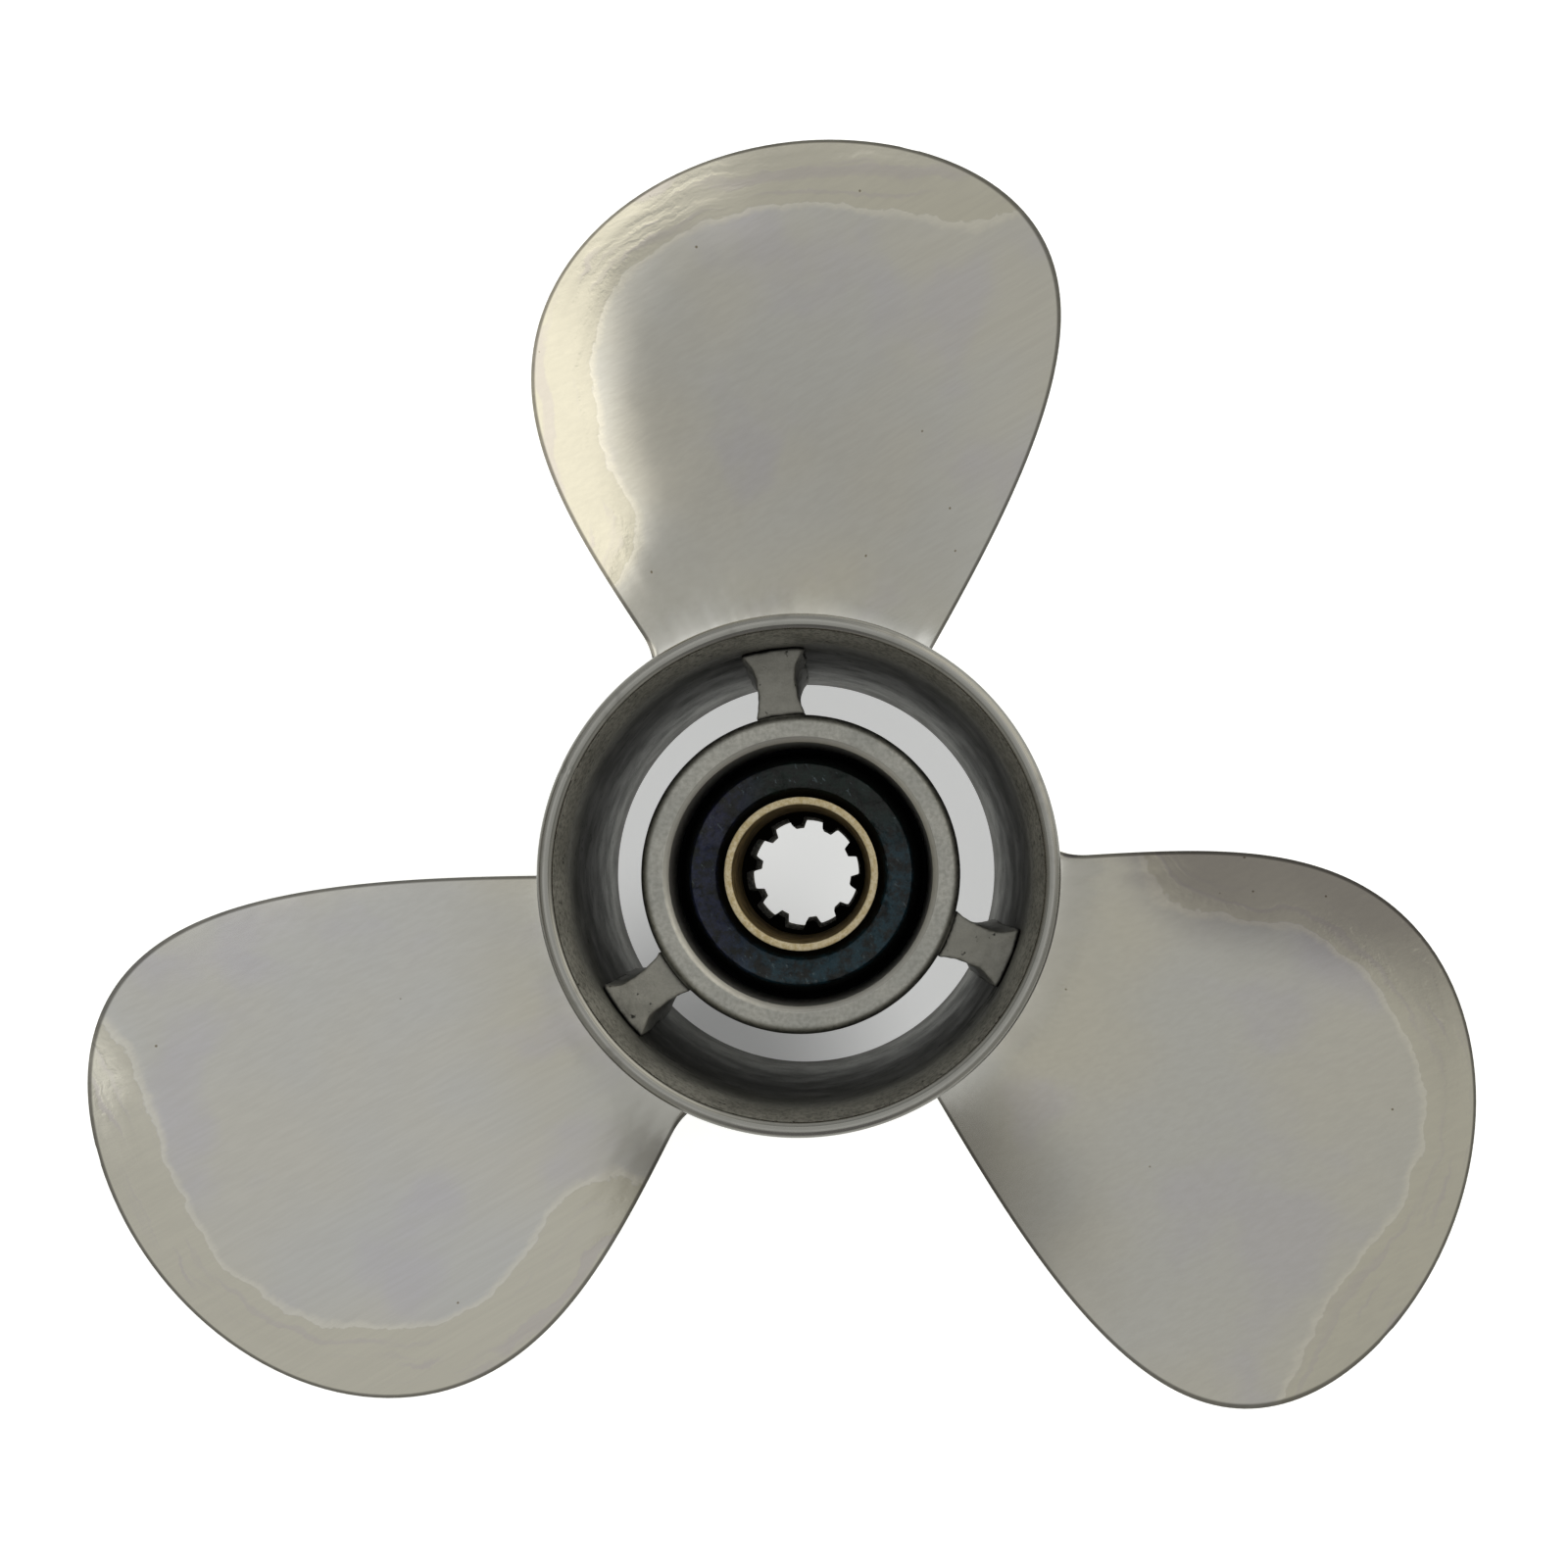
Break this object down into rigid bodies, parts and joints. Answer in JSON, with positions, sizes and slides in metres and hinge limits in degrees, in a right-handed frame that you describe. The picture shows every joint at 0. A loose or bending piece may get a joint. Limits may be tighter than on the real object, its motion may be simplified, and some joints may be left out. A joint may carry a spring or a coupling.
{
  "type": "boat propeller",
  "caption": "Right-hand outboard boat propeller with through-hub exhaust: polished stainless blades on an open barrel, and a rubber-cushioned bronze sleeve splined for the shaft.",
  "frame": {"origin": "on the shaft axis, in the plane of the barrel's front face, on which the propeller stands", "axes": "+Z along the shaft axis, aft (towards the exhaust end and the nut); the middle of blade_1's root lies 2 degrees round from +Y towards -X"},
  "size_m": [0.2306, 0.2162, 0.1],
  "materials": {
    "polished_stainless": "polished",
    "cast_stainless": "satin, lightly blasted",
    "rough_cast_stainless": "rough as cast",
    "black_rubber": "moulded, dusty",
    "bronze": "turned, tarnished in the bore"
  },
  "bodies": {
    "sleeve": {"splined_sleeve": "bronze"},
    "bush": {"rubber_bush": "black_rubber"},
    "wheel": {"outer_barrel": "cast_stainless", "diffuser_ring": "cast_stainless", "inner_hub": "cast_stainless", "rib_1": "rough_cast_stainless", "rib_2": "rough_cast_stainless", "rib_3": "rough_cast_stainless", "blade_1": "polished_stainless", "blade_2": "polished_stainless", "blade_3": "polished_stainless"}
  },
  "joints": [
    {"name": "cushion_windup", "type": "hinge", "parent": "sleeve", "child": "bush", "pos_m": [0, 0, 0.044], "axis": [0, 0, 1], "range_deg": [-6, 6], "stiffness_Nm_per_rad": 800},
    {"name": "hub_slip", "type": "hinge", "parent": "bush", "child": "wheel", "pos_m": [0, 0, 0.044], "axis": [0, 0, 1], "continuous": true}
  ]
}
